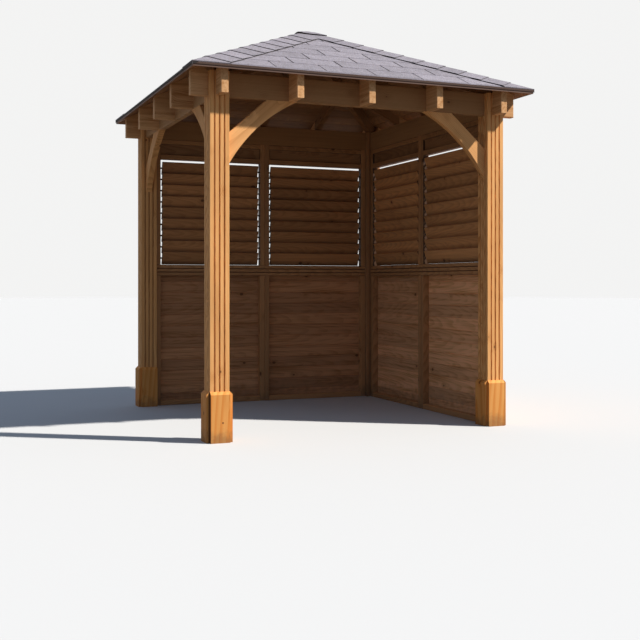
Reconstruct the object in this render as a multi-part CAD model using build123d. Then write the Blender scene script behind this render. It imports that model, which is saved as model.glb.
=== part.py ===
from build123d import *
import math
import os

# Garden gazebo: four grooved posts, a ring of beams, a square pyramid roof with
# shingles, and two louvred half-clad walls, at the back and at the right.
# Origin at the middle of the plan on the ground. The front is -Y, the left is -X.

# Driving dimensions, in millimetres and degrees

# Plan and heights
plan_side = 2000.0          # outer face to outer face of the posts, both ways
headroom = 2040.0           # ground to the underside of the beams
post_side = 120.0
beam_width = 45.0
beam_height = 145.0
arris = 3.0                 # eased edge of a planed timber

# Grooves and arrises of the posts
grooves_per_face = 3
groove_mouth = 10.0
groove_floor = 6.0
groove_depth = 8.0
post_arris = 3.0

# Boards round the foot of each post
skirt_height = 300.0
skirt_thickness = 20.0
skirt_chamfer = 17.0

# Curved knee braces
brace_thickness = 45.0
brace_heel_upper = 216.0    # below the beam, where the upper edge meets the post
brace_heel_lower = 411.0    # below the beam, where the curved edge meets the post
brace_head_inner = 245.0    # out from the post, where the upper edge meets the beam
brace_head_outer = 443.0    # out from the post, where the curved edge meets the beam
brace_rise = 48.0           # how far the curved edge bows towards the corner

# Roof frame
roof_pitch = 25.0
rafter_heel = 69.0          # height of a rafter above the outer face of the beam
rafter_width = 45.0
rafter_depth = 66.0
hip_depth = 90.0
apex_block_drop = 190.0     # depth of the apex block below the boarding
apex_block_chamfer = 12.0
tail_spaces = 4             # equal spaces between the rafter tails of a side
tail_reach = 105.0          # past the outer face of the posts

# Roof covering
board_thickness = 19.0
board_cover = 95.0          # width of a roof board, up the slope
board_groove = 3.0          # V joint between roof boards, on the underside
board_reach = 140.0         # past the outer face of the posts
shingle_nose = 5.0          # shingles past the edge of the boarding
shingle_build = 8.0         # thickness at the butt of a course
shingle_taper = 4.0         # how much thinner a course is at its head
shingle_exposure = 156.0    # measured up the slope
lowest_exposure = 180.0     # of the course at the eaves
cap_build = 5.0             # thickness at the butt of a hip cap
cap_taper = 2.5             # how much thinner a hip cap is at its head
cap_exposure = 155.0        # measured up the hip
lowest_cap_exposure = 190.0
hip_cap_wing = 158.0        # width of a folded cap to each side, in plan
hip_cap_clearance = 2.0     # between neighbouring runs of caps, under the apex cap
apex_cap_side = 230.0

# Walls between the posts
bays_per_wall = 2
frame_depth = 50.0
stile_width = 38.0
rail_height = 38.0
panel_joint = 1.0           # between the two panels of a wall
sill_height = 995.0         # ground to the underside of the middle rail
middle_rail_height = 84.0
middle_rail_bands = 3
middle_rail_groove = 8.0    # width at the face
middle_rail_groove_depth = 8.0
header_depth = 153.0        # underside of the beam to the underside of the header
header_board_thickness = 16.0
cladding_thickness = 16.0
cladding_boards = 12
cladding_groove = 4.0

# Louvres
slats_per_bay = 9
slat_width = 100.0
slat_thickness = 17.0
slat_chamfer = 3.0
slat_tilt = 18.5            # from upright, with the top edge towards the room
slat_end_gap = 15.0
slat_pin_sides = 8
slat_pin_flats = 12.0
louvre_gap_below = 1.0
louvre_gap_above = 16.0

# Sizes that follow
half_plan = plan_side / 2
post_centre = half_plan - post_side / 2
post_inner = half_plan - post_side
plate_top = headroom + beam_height
beam_outer = post_centre + beam_width / 2
slope = math.tan(math.radians(roof_pitch))
slope_stretch = 1 / math.cos(math.radians(roof_pitch))
board_edge = half_plan + board_reach
shingle_edge = board_edge + shingle_nose
board_rise = board_thickness * slope_stretch
shingle_rise = shingle_build * slope_stretch
cap_rise = cap_build * slope_stretch
apex_block_flats = rafter_width / math.tan(math.radians(22.5))
middle_rail_top = sill_height + middle_rail_height
header_underside = headroom - header_depth
diagonal = math.sqrt(2)
above_roof = plate_top + plan_side

side_turns = {"front": 0, "left": -90, "back": 180, "right": 90}
corner_turns = {"front_left": 0, "back_left": -90, "back_right": 180, "front_right": 90}

parts = {}


# A block between two corners
def block(low, high):
    size = [high[i] - low[i] for i in range(3)]
    middle = [(high[i] + low[i]) / 2 for i in range(3)]
    return Pos(*middle) * Box(*size)


# A planed bar between two corners, with its long edges eased
def planed_bar(low, high, along):
    bar = block(low, high)
    return chamfer(bar.edges().filter_by(along), arris)


# A prism from an outline drawn in the YZ plane, from one x to another
def prism_along_x(outline, x_from, x_to):
    face = Plane.YZ * make_face(Polyline(*outline, close=True))
    return Pos(x_from, 0, 0) * extrude(face, amount=x_to - x_from)


# A prism from an outline drawn in plan, from one height to another
def prism_upwards(outline, z_from, z_to):
    face = make_face(Polyline(*outline, close=True))
    return Pos(0, 0, z_from) * extrude(face, amount=z_to - z_from)


def turned(shape, angle):
    return Rot(0, 0, angle) * shape


# Height of the underside of the roof boarding, at a distance from the middle
def boarding_height(out):
    return plate_top + rafter_heel + slope * (beam_outer - out)


# Everything below the boarding, raised by a height, out to the shingles' edge
def under_roof(raised=0.0):
    apex = boarding_height(0) + raised
    edge = boarding_height(shingle_edge) + raised
    along = [(-shingle_edge, 0), (-shingle_edge, edge), (0, apex), (shingle_edge, edge), (shingle_edge, 0)]
    one_way = prism_along_x(along, -shingle_edge, shingle_edge)
    return one_way & turned(one_way, 90)


# The triangle of the plan that belongs to the front slope
def front_triangle(edge, setback=0.0):
    outline = [(0, -setback), (-edge + setback, -edge), (edge - setback, -edge)]
    return prism_upwards(outline, 0, above_roof)


# A post, with upright grooves in every face
def make_post():
    section = RectangleRounded(post_side, post_side, post_arris)
    groove = Polyline(
        (-groove_mouth / 2, 0),
        (-groove_floor / 2, -groove_depth),
        (groove_floor / 2, -groove_depth),
        (groove_mouth / 2, 0),
        (groove_mouth / 2, groove_mouth),
        (-groove_mouth / 2, groove_mouth),
        close=True,
    )
    cutter = make_face(groove)
    step = post_side / (grooves_per_face + 1)
    for turn in range(4):
        for number in range(grooves_per_face):
            across = (number + 1) * step - post_side / 2
            section -= Rot(0, 0, 90 * turn) * Pos(across, post_side / 2, 0) * cutter
    return Pos(-post_centre, -post_centre, 0) * extrude(section, amount=plate_top)


# A foot board on the face of the post that looks along +Y, before it is turned
def skirt_board():
    face = post_side / 2
    outline = [
        (face, 0),
        (face + skirt_thickness, 0),
        (face + skirt_thickness, skirt_height - skirt_chamfer),
        (face + skirt_thickness - skirt_chamfer, skirt_height),
        (face, skirt_height),
    ]
    return prism_along_x(outline, -post_side / 2, post_side / 2)


# The boards round the foot of a post, on the faces that no wall meets
def make_skirt(corner):
    x_sign = -1 if "left" in corner else 1
    y_sign = -1 if "front" in corner else 1
    walled = {"front_left": [], "front_right": [0], "back_left": [-90], "back_right": [90, 180]}
    boards = []
    for turn in (0, 90, 180, -90):
        if turn not in walled[corner]:
            board = turned(skirt_board(), turn)
            boards.append(Pos(x_sign * post_centre, y_sign * post_centre, 0) * board)
    return Compound(children=boards)


# The beam of the front, between the posts
def make_beam():
    half = beam_width / 2
    low = (-post_inner, -post_centre - half, headroom)
    high = (post_inner, -post_centre + half, plate_top)
    return planed_bar(low, high, Axis.X)


# A knee brace of the front, at the left post
def make_brace():
    across = brace_head_outer
    down = brace_heel_lower
    length = math.hypot(across, down)
    middle = (across / 2 - brace_rise * down / length, -down / 2 + brace_rise * across / length)
    curve = ThreePointArc((0, -down), middle, (across, 0))
    rest = Polyline((across, 0), (brace_head_inner, 0), (0, -brace_heel_upper), (0, -down))
    face = Plane.XZ * make_face(curve + rest)
    solid = extrude(face, amount=brace_thickness / 2, both=True)
    curved = solid.edges().filter_by(GeomType.CIRCLE)
    straight = solid.edges().filter_by(GeomType.LINE).filter_by(Plane.XZ)
    upper = [edge for edge in straight if abs(edge.tangent_at(0).X) * abs(edge.tangent_at(0).Z) > 0]
    return Pos(-post_inner, -post_centre, headroom) * chamfer(list(curved) + upper, arris)


# The five tails of the front: three on the beam and one on each post
def make_tails():
    tails = []
    tip = half_plan + tail_reach
    step = 2 * post_centre / tail_spaces
    for number in range(tail_spaces + 1):
        across = number * step - post_centre
        seat = half_plan if number in (0, tail_spaces) else beam_outer
        outline = [
            (-tip, headroom),
            (-seat, headroom),
            (-seat, boarding_height(seat)),
            (-tip, boarding_height(tip)),
        ]
        tail = prism_along_x(outline, across - rafter_width / 2, across + rafter_width / 2)
        end_edges = tail.faces().sort_by(Axis.Y)[0].edges().filter_by(Axis.Z)
        low_edges = tail.faces().sort_by(Axis.Z)[0].edges().filter_by(Axis.Y)
        tails.append(chamfer(end_edges + low_edges, arris))
    return tails


# The outline of a rafter seen from its side, seated on the plate, up to a place near the middle
def rafter_outline(outer, inner, depth, stretch):
    rise = slope / stretch
    top_outer = boarding_height(outer / stretch)
    top_inner = boarding_height(inner / stretch)
    drop = depth / math.cos(math.atan(rise))
    seat_end = outer - (plate_top + drop - top_outer) / rise
    return [
        (-outer, plate_top),
        (-outer, top_outer),
        (-inner, top_inner),
        (-inner, top_inner - drop),
        (-seat_end, plate_top),
    ]


# The rafters of the front: the middle one to the apex block, the jacks to the hips
def make_rafters():
    step = 2 * post_centre / tail_spaces
    hip_clearance = rafter_width / 2 * diagonal
    between_hips = front_triangle(half_plan, hip_clearance)
    rafters = []
    for number in range(1, tail_spaces):
        across = number * step - post_centre
        inner = apex_block_flats / 2 if abs(across) < rafter_width else abs(across) / 2
        outline = rafter_outline(beam_outer, inner, rafter_depth, 1.0)
        rafter = prism_along_x(outline, across - rafter_width / 2, across + rafter_width / 2)
        rafters.append(rafter & between_hips)
    return Compound(children=rafters)


# The hip rafter over the front left post, bevelled on top to both slopes
def make_hip_rafter():
    outline = rafter_outline(half_plan * diagonal, apex_block_flats / 2, hip_depth, diagonal)
    plank = prism_along_x(outline, -rafter_width / 2, rafter_width / 2)
    return turned(plank, -45) & under_roof()


# The eight-sided block that the hips and the middle rafters meet
def make_apex_block():
    section = RegularPolygon(apex_block_flats / 2, 8, major_radius=False, rotation=22.5)
    bottom = boarding_height(0) - apex_block_drop
    solid = extrude(section, amount=2 * apex_block_drop)
    solid = chamfer(solid.faces().sort_by(Axis.Z)[0].edges(), apex_block_chamfer)
    return Pos(0, 0, bottom) * solid & under_roof()


# The boarding of the front slope, cut plumb at the eaves and mitred at the hips,
# with a V joint under every board
def make_boarding():
    cover = board_cover / slope_stretch
    outline = [
        (0, boarding_height(0)),
        (0, boarding_height(0) + board_rise),
        (-board_edge, boarding_height(board_edge) + board_rise),
        (-board_edge, boarding_height(board_edge)),
    ]
    joint = board_edge - cover
    while joint > cover:
        outline.append((-joint - board_groove, boarding_height(joint + board_groove)))
        outline.append((-joint, boarding_height(joint) + board_groove))
        outline.append((-joint + board_groove, boarding_height(joint - board_groove)))
        joint -= cover
    return prism_along_x(outline, -board_edge, board_edge) & front_triangle(board_edge)


# The shingles of the front slope, in courses that step down towards the eaves
def make_shingles():
    taper = shingle_taper * slope_stretch
    bottom = board_rise
    top = board_rise + shingle_rise
    outline = [(0, boarding_height(0) + bottom), (-shingle_edge, boarding_height(shingle_edge) + bottom)]
    butt = shingle_edge
    course = lowest_exposure / slope_stretch
    while butt > 0:
        head = max(butt - course, 0)
        thinned = top - taper * (butt - head) / course
        outline.append((-butt, boarding_height(butt) + top))
        outline.append((-head, boarding_height(head) + thinned))
        butt = head
        course = shingle_exposure / slope_stretch
    return prism_along_x(outline, -shingle_edge, shingle_edge) & front_triangle(shingle_edge)


# The run of folded caps over the front left hip, each lapped over the one below it,
# drawn along the hip and pushed out down both slopes
def make_hip_cap():
    low = board_rise + shingle_rise
    hip_slope = slope / diagonal
    hip_stretch = math.hypot(1, hip_slope)
    taper = cap_taper * slope_stretch
    corner = shingle_edge * diagonal
    outline = [(0, boarding_height(0) + low), (-corner, boarding_height(shingle_edge) + low)]
    butt = corner
    exposure = lowest_cap_exposure / hip_stretch
    while butt > 0:
        head = max(butt - exposure, 0)
        thinned = low + cap_rise - taper * (butt - head) / exposure
        outline.append((-butt, boarding_height(butt / diagonal) + low + cap_rise))
        outline.append((-head, boarding_height(head / diagonal) + thinned))
        butt = head
        exposure = cap_exposure / hip_stretch
    face = Plane.YZ * make_face(Polyline(*outline, close=True))
    wing_length = hip_cap_wing * hip_stretch
    right_wing = extrude(face, amount=wing_length, dir=(1, 0, -hip_slope))
    left_wing = extrude(face, amount=wing_length, dir=(-1, 0, -hip_slope))
    half_clear = hip_cap_clearance / 2
    quarter = block((-shingle_edge, -shingle_edge, 0), (-half_clear, -half_clear, above_roof))
    return turned(right_wing + left_wing, -45) & quarter


# The cap that covers the tops of the four runs
def make_apex_cap():
    low = board_rise + shingle_rise + cap_rise
    half = apex_cap_side / 2
    layer = under_roof(low + cap_rise) - under_roof(low)
    return layer & block((-half, -half, 0), (half, half, above_roof))


# Left and right edges of each bay of a wall
def bay_edges():
    bay = 2 * post_inner / bays_per_wall
    edges = []
    for number in range(bays_per_wall):
        left = -post_inner + number * bay
        right = left + bay
        left += panel_joint / 2 if number > 0 else 0
        right -= panel_joint / 2 if number < bays_per_wall - 1 else 0
        edges.append((left, right))
    return edges


# A plain bar of a wall frame, between two places along the wall and two heights
def frame_bar(x_from, x_to, z_from, z_to, along):
    half = frame_depth / 2
    return planed_bar((x_from, -post_centre - half, z_from), (x_to, -post_centre + half, z_to), along)


# The upright bars of a wall, below and above the middle rail
def make_stiles():
    stiles = []
    for left, right in bay_edges():
        for x_from, x_to in ((left, left + stile_width), (right - stile_width, right)):
            stiles.append(frame_bar(x_from, x_to, 0, sill_height, Axis.Z))
            stiles.append(frame_bar(x_from, x_to, middle_rail_top, headroom, Axis.Z))
    return Compound(children=stiles)


# The middle rail, with two grooves along each face
def make_middle_rail():
    half = frame_depth / 2
    near = -post_centre + half
    far = -post_centre - half
    band = middle_rail_height / middle_rail_bands
    inside = [(near, sill_height)]
    outside = [(far, sill_height)]
    for number in range(1, middle_rail_bands):
        level = sill_height + number * band
        mouth_from = level - middle_rail_groove / 2
        mouth_to = level + middle_rail_groove / 2
        inside.append((near, mouth_from))
        inside.append((near - middle_rail_groove_depth, level))
        inside.append((near, mouth_to))
        outside.append((far, mouth_from))
        outside.append((far + middle_rail_groove_depth, level))
        outside.append((far, mouth_to))
    inside.append((near, middle_rail_top))
    outside.append((far, middle_rail_top))
    return prism_along_x(inside + outside[::-1], -post_inner, post_inner)


# The level bars of a wall
def make_rails():
    rails = [make_middle_rail()]
    for left, right in bay_edges():
        x_from = left + stile_width
        x_to = right - stile_width
        for low in (0, header_underside, headroom - rail_height):
            rails.append(frame_bar(x_from, x_to, low, low + rail_height, Axis.X))
    return Compound(children=rails)


# The boards between the two header rails
def make_header_boards():
    boards = []
    near = -post_centre + header_board_thickness / 2
    far = -post_centre - header_board_thickness / 2
    for left, right in bay_edges():
        low = (left + stile_width, far, header_underside + rail_height)
        high = (right - stile_width, near, headroom - rail_height)
        boards.append(block(low, high))
    return Compound(children=boards)


# The level boards on the outer side of a wall, with a V joint at every board
def make_cladding():
    near = -post_centre - frame_depth / 2
    far = near - cladding_thickness
    cover = (sill_height + middle_rail_height / 2) / cladding_boards
    top = cover * cladding_boards
    inside = [(near, 0)]
    outside = [(far, 0)]
    for number in range(1, cladding_boards):
        level = number * cover
        inside.append((near, level - cladding_groove))
        inside.append((near - cladding_groove, level))
        inside.append((near, level + cladding_groove))
        outside.append((far, level - cladding_groove))
        outside.append((far + cladding_groove, level))
        outside.append((far, level + cladding_groove))
    inside.append((near, top))
    outside.append((far, top))
    panels = []
    for left, right in bay_edges():
        panels.append(prism_along_x(inside + outside[::-1], left, right))
    return Compound(children=panels)


# One slat between two stiles, on a pin at each end
def make_slat(x_from, x_to, level):
    section = Rectangle(slat_thickness, slat_width)
    section = chamfer(section.vertices(), slat_chamfer)
    slat_from = x_from + slat_end_gap
    slat_to = x_to - slat_end_gap
    slat = Pos(slat_from, 0, 0) * extrude(Plane.YZ * section, amount=slat_to - slat_from)
    pin = RegularPolygon(slat_pin_flats / 2, slat_pin_sides, major_radius=False)
    for start, length in ((x_from, slat_end_gap), (slat_to, slat_end_gap)):
        slat += Pos(start, 0, 0) * extrude(Plane.YZ * pin, amount=length)
    return Pos(0, -post_centre, level) * Rot(-slat_tilt, 0, 0) * slat


# The slats of one bay
def make_louvres(bay):
    left, right = bay_edges()[bay]
    tilt = math.radians(slat_tilt)
    slat_height = slat_width * math.cos(tilt) + slat_thickness * math.sin(tilt)
    lowest = middle_rail_top + louvre_gap_below + slat_height / 2
    highest = header_underside - louvre_gap_above - slat_height / 2
    pitch = (highest - lowest) / (slats_per_bay - 1)
    slats = []
    for number in range(slats_per_bay):
        slats.append(make_slat(left + stile_width, right - stile_width, lowest + number * pitch))
    return Compound(children=slats)


# Posts and foot boards at the four corners
post = make_post()
for corner, turn in corner_turns.items():
    parts["post_" + corner] = turned(post, turn)
    parts["skirt_" + corner] = make_skirt(corner)

# Beams, rafters, boarding and shingles on the four sides
beam = make_beam()
rafters = make_rafters()
boarding = make_boarding()
shingles = make_shingles()
for side, turn in side_turns.items():
    parts["beam_" + side] = turned(beam, turn)
    parts["rafters_" + side] = turned(rafters, turn)
    parts["roof_boards_" + side] = turned(boarding, turn)
    parts["shingles_" + side] = turned(shingles, turn)

# Tails, hips and caps, four times round
tails = make_tails()
hip = make_hip_rafter()
hip_cap = make_hip_cap()
parts["rafter_tails"] = Compound(children=[turned(tail, turn) for turn in side_turns.values() for tail in tails])
parts["hip_rafters"] = Compound(children=[turned(hip, turn) for turn in corner_turns.values()])
parts["hip_caps"] = Compound(children=[turned(hip_cap, turn) for turn in corner_turns.values()])
parts["apex_block"] = make_apex_block()
parts["apex_cap"] = make_apex_cap()

# Knee braces on the two open sides
brace = make_brace()
brace_mirrored = mirror(brace, about=Plane.YZ)
parts["brace_front_at_left"] = brace
parts["brace_front_at_right"] = brace_mirrored
parts["brace_left_at_back"] = turned(brace, side_turns["left"])
parts["brace_left_at_front"] = turned(brace_mirrored, side_turns["left"])

# Walls at the back and at the right
stiles = make_stiles()
rails = make_rails()
header_boards = make_header_boards()
cladding = make_cladding()
for side in ("back", "right"):
    turn = side_turns[side]
    parts[side + "_wall_stiles"] = turned(stiles, turn)
    parts[side + "_wall_rails"] = turned(rails, turn)
    parts[side + "_wall_header_boards"] = turned(header_boards, turn)
    parts[side + "_wall_cladding"] = turned(cladding, turn)
    for bay in range(bays_per_wall):
        parts[side + "_wall_louvres_" + str(bay + 1)] = turned(make_louvres(bay), turn)

os.makedirs("parts", exist_ok=True)
for name, shape in parts.items():
    export_step(shape, os.path.join("parts", name + ".step"))
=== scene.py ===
import math
import random

import bpy
from mathutils import Matrix, Vector


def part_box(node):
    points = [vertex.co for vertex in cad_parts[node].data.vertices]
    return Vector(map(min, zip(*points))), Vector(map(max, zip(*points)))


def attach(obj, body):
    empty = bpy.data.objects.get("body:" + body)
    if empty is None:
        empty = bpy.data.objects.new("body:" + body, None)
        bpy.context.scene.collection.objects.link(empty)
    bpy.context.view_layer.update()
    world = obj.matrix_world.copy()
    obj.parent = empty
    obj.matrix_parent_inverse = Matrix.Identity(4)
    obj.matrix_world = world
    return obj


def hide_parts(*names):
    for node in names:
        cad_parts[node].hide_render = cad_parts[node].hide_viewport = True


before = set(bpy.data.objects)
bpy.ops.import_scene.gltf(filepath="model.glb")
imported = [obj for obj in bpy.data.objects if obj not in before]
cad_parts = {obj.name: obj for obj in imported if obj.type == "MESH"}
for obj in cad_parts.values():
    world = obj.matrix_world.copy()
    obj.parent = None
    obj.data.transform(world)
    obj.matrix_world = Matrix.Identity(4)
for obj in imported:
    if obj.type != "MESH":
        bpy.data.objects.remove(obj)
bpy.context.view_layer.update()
bpy.ops.object.select_all(action="DESELECT")

# The posts: four square uprights of planed softwood, stained brown by the treatment,
# with three grooves planed up each face. The grain runs up the post, each post is
# from another tree, and the foot is a little darker where rain splashes on it.
PALE_TIMBER = (0.78, 0.405, 0.15, 1)
DARK_TIMBER = (0.49, 0.21, 0.062, 1)
KNOT_HEART = (0.05, 0.018, 0.008, 1)
SPLASHED_DIRT = (0.10, 0.065, 0.04, 1)
SPLASH_SHARE = 0.45
# Painted shade for the grooves of the posts
GROOVE_PAINTED_SHADE = (0.10, 0.035, 0.012, 1)
TIMBER_GLOSS = 0.2
GRAIN_RELIEF = 0.0004
GRAIN_UP = [(0, 90, 0)]
# The spacing of the boards across a way in which there is only one
UNDIVIDED = 1000.0


def shader_node(tree, kind, inputs=(), **settings):
    made = tree.nodes.new("ShaderNode" + kind)
    for key, value in settings.items():
        setattr(made, key, value)
    for socket, value in dict(inputs).items():
        if isinstance(value, bpy.types.NodeSocket):
            tree.links.new(value, made.inputs[socket])
        else:
            made.inputs[socket].default_value = value
    return made


def number(tree, operation, first, second=0.0, third=0.0, clamp=False):
    sockets = {0: first, 1: second, 2: third}
    return shader_node(tree, "Math", sockets, operation=operation, use_clamp=clamp).outputs[0]


def scaled(tree, value, by, plus=0.0, clamp=False):
    return number(tree, "MULTIPLY_ADD", value, by, plus, clamp)


def vector(tree, operation, first, second=(0, 0, 0), third=(0, 0, 0)):
    return shader_node(tree, "VectorMath", {0: first, 1: second, 2: third}, operation=operation).outputs[0]


def axes(tree, place):
    return shader_node(tree, "SeparateXYZ", {0: place}).outputs


# Rises smoothly from nothing at the start to the most at the end
def ramped(tree, value, start, end, most=1.0):
    sockets = {"Value": value, "From Min": start, "From Max": end, "To Max": most}
    return shader_node(tree, "MapRange", sockets, interpolation_type="SMOOTHSTEP").outputs[0]


# Sockets 0, 6 and 7 of a Mix node are its share and its two colours
def mixed(tree, share, under, over, blend="MIX"):
    sockets = {0: share, 6: under, 7: over}
    return shader_node(tree, "Mix", sockets, data_type="RGBA", blend_type=blend).outputs[2]


def shaded(tree, colour, tone):
    grey = shader_node(tree, "CombineXYZ", {0: tone, 1: tone, 2: tone}).outputs[0]
    return mixed(tree, 1.0, colour, grey, "MULTIPLY")


def noise(tree, place, scale, detail):
    return shader_node(tree, "TexNoise", {"Vector": place, "Scale": scale, "Detail": detail}).outputs[0]


def cells(tree, place, scale):
    return shader_node(tree, "TexVoronoi", {"Vector": place, "Scale": scale}).outputs


# Noise drawn out along the grain
def drawn_out(tree, place, stretch, detail):
    return noise(tree, vector(tree, "MULTIPLY", place, stretch), 1.0, detail)


def effect(name, inputs, outputs):
    tree = bpy.data.node_groups.new(name, "ShaderNodeTree")
    for socket, kind, value in inputs:
        made = tree.interface.new_socket(socket, in_out="INPUT", socket_type="NodeSocket" + kind)
        made.default_value = value
    for socket, kind in outputs:
        tree.interface.new_socket(socket, in_out="OUTPUT", socket_type="NodeSocket" + kind)
    return tree, tree.nodes.new("NodeGroupInput").outputs, tree.nodes.new("NodeGroupOutput").inputs


# Which board a point is on, and where it is on that board
def make_board_by_board():
    tree, given, out = effect(
        "board_by_board",
        [("Place", "Vector", (0, 0, 0)), ("Spacing", "Vector", (1, 1, 1)), ("First", "Vector", (0, 0, 0))],
        [("Place", "Vector"), ("Board", "Vector")],
    )
    from_first = vector(tree, "SUBTRACT", given["Place"], given["First"])
    counted = vector(tree, "DIVIDE", from_first, given["Spacing"])
    board = vector(tree, "FLOOR", vector(tree, "ADD", counted, (0.5, 0.5, 0.5)))
    middle = vector(tree, "MULTIPLY", board, given["Spacing"])
    tree.links.new(vector(tree, "SUBTRACT", from_first, middle), out["Place"])
    tree.links.new(board, out["Board"])
    return tree


WHICH_TREES = (7.3, 2.9, 4.1)
TREES_APART = (5.0, 5.0, 5.0)
KNOTS_TO_THE_METRE = (5.6, 8.0, 8.0)


# Planed softwood, grain along X: growth rings round a pith beside or behind the board,
# wandering a little and parting round the knots, with fine fibres over them
def make_planed_softwood():
    tree, given, out = effect(
        "planed_softwood",
        [
            ("Place", "Vector", (0, 0, 0)),
            ("Board", "Vector", (0, 0, 0)),
            ("Pale", "Color", PALE_TIMBER),
            ("Dark", "Color", DARK_TIMBER),
            ("Ring", "Float", 0.007),
            ("Variation", "Float", 0.25),
            ("Knots", "Float", 1.0),
            ("Figure", "Float", 1.0),
            ("Streaks", "Float", 0.95),
        ],
        [("Color", "Color"), ("Roughness", "Float"), ("Height", "Float")],
    )
    felled = vector(tree, "ADD", given["Board"], WHICH_TREES)
    tree_of_board = shader_node(tree, "TexWhiteNoise", {"Vector": felled}).outputs["Color"]
    chance = axes(tree, tree_of_board)
    own = vector(tree, "MULTIPLY_ADD", tree_of_board, TREES_APART, given["Place"])
    wander = drawn_out(tree, own, stretch=(1.3, 7.0, 7.0), detail=2.0)
    fibre = drawn_out(tree, own, stretch=(9.0, 520.0, 520.0), detail=3.0)
    streak = drawn_out(tree, own, stretch=(1.8, 60.0, 60.0), detail=3.0)
    cloud = drawn_out(tree, own, stretch=(2.2, 9.0, 9.0), detail=2.0)

    # Knots, with the grain parting round them
    knot = cells(tree, vector(tree, "MULTIPLY", own, KNOTS_TO_THE_METRE), scale=1.0)
    near = knot["Distance"]
    widest = scaled(tree, axes(tree, knot["Color"])[0], by=0.105, plus=0.02)
    past_rim = number(tree, "SUBTRACT", near, number(tree, "MULTIPLY", widest, given["Knots"]))
    in_knot = ramped(tree, past_rim, start=0.012, end=-0.018)
    round_knot = ramped(tree, near, start=0.30, end=0.0)

    # Growth rings, pale at first and dark just before the next one
    place = axes(tree, given["Place"])
    across = number(tree, "SUBTRACT", place[1], scaled(tree, chance[0], by=0.10, plus=-0.05))
    deep = number(tree, "ADD", place[2], scaled(tree, chance[1], by=0.11, plus=0.03))
    deep = scaled(tree, place[0], by=0.07, plus=deep)
    section = shader_node(tree, "CombineXYZ", {0: 0.0, 1: across, 2: deep}).outputs[0]
    from_pith = shader_node(tree, "VectorMath", {0: section}, operation="LENGTH").outputs["Value"]
    from_pith = scaled(tree, wander, by=0.045, plus=from_pith)
    from_pith = scaled(tree, round_knot, by=0.012, plus=from_pith)
    ring = number(tree, "FRACT", number(tree, "DIVIDE", from_pith, given["Ring"]))
    darkening = ramped(tree, ring, start=0.25, end=0.90)
    before_spring = ramped(tree, ring, start=1.0, end=0.93)
    late_wood = number(tree, "MULTIPLY", darkening, before_spring)

    # The share of the dark colour, and the tone of the board and of its clouds
    share = scaled(tree, late_wood, by=scaled(tree, given["Figure"], by=0.50), plus=-0.065)
    share = scaled(tree, number(tree, "SUBTRACT", streak, 0.5), by=given["Streaks"], plus=share)
    share = scaled(tree, fibre, by=0.30, plus=share, clamp=True)
    tone = number(tree, "MULTIPLY", number(tree, "SUBTRACT", chance[2], 0.5), given["Variation"])
    tone = number(tree, "ADD", tone, scaled(tree, cloud, by=0.36, plus=0.82))
    wood = shaded(tree, mixed(tree, share, given["Pale"], given["Dark"]), tone)
    rim = mixed(tree, scaled(tree, round_knot, by=0.45), wood, given["Dark"])
    heart = mixed(tree, 0.72, given["Dark"], KNOT_HEART)
    tree.links.new(mixed(tree, scaled(tree, in_knot, by=0.9), rim, heart), out["Color"])

    rough = scaled(tree, late_wood, by=-0.10, plus=0.66)
    tree.links.new(scaled(tree, fibre, by=0.16, plus=rough), out["Roughness"])
    height = scaled(tree, late_wood, by=0.35, plus=scaled(tree, fibre, by=0.45))
    tree.links.new(scaled(tree, in_knot, by=-0.4, plus=height), out["Height"])
    return tree


# Damp and dirt that creep up from the ground, in a ragged line
def make_splashed_foot():
    tree, given, out = effect(
        "splashed_foot",
        [("Place", "Vector", (0, 0, 0)), ("Reach", "Float", 0.2)],
        [("Dirt", "Float")],
    )
    up = axes(tree, given["Place"])[2]
    ragged = number(tree, "SUBTRACT", noise(tree, given["Place"], scale=22.0, detail=4.0), 0.5)
    line = scaled(tree, ragged, by=0.16, plus=up)
    tree.links.new(ramped(tree, line, start=given["Reach"], end=0.0), out["Dirt"])
    return tree


board_by_board = make_board_by_board()
planed_softwood = make_planed_softwood()
splashed_foot = make_splashed_foot()


def placed_group(tree, group, inputs):
    return shader_node(tree, "Group", inputs, node_tree=group).outputs


def new_material(name):
    material = bpy.data.materials.new(name)
    material.use_nodes = True
    tree = material.node_tree
    return material, tree, tree.nodes["Principled BSDF"].inputs


def object_place(tree):
    return shader_node(tree, "TexCoord").outputs["Object"]


def turned_place(tree, place, turns):
    for turn in turns:
        angles = tuple(math.radians(angle) for angle in turn)
        place = shader_node(tree, "Mapping", {"Vector": place, "Rotation": angles}).outputs[0]
    return place


def roughen(tree, shader, height, strength, relief):
    bump = shader_node(tree, "Bump", {"Strength": strength, "Distance": relief, "Height": height})
    tree.links.new(bump.outputs[0], shader["Normal"])


def finish_timber(tree, shader, colour, wood):
    tree.links.new(colour, shader["Base Color"])
    tree.links.new(wood["Roughness"], shader["Roughness"])
    shader["Specular IOR Level"].default_value = TIMBER_GLOSS
    roughen(tree, shader, wood["Height"], strength=0.8, relief=GRAIN_RELIEF)


# The wood at a place that has its grain along X. The looks are planed_softwood's inputs.
def wood_of_boards(tree, place, spacing, first, **looks):
    boards = placed_group(tree, board_by_board, {"Place": place, "Spacing": spacing, "First": first})
    return placed_group(tree, planed_softwood, {"Place": boards["Place"], "Board": boards["Board"], **looks})


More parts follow.
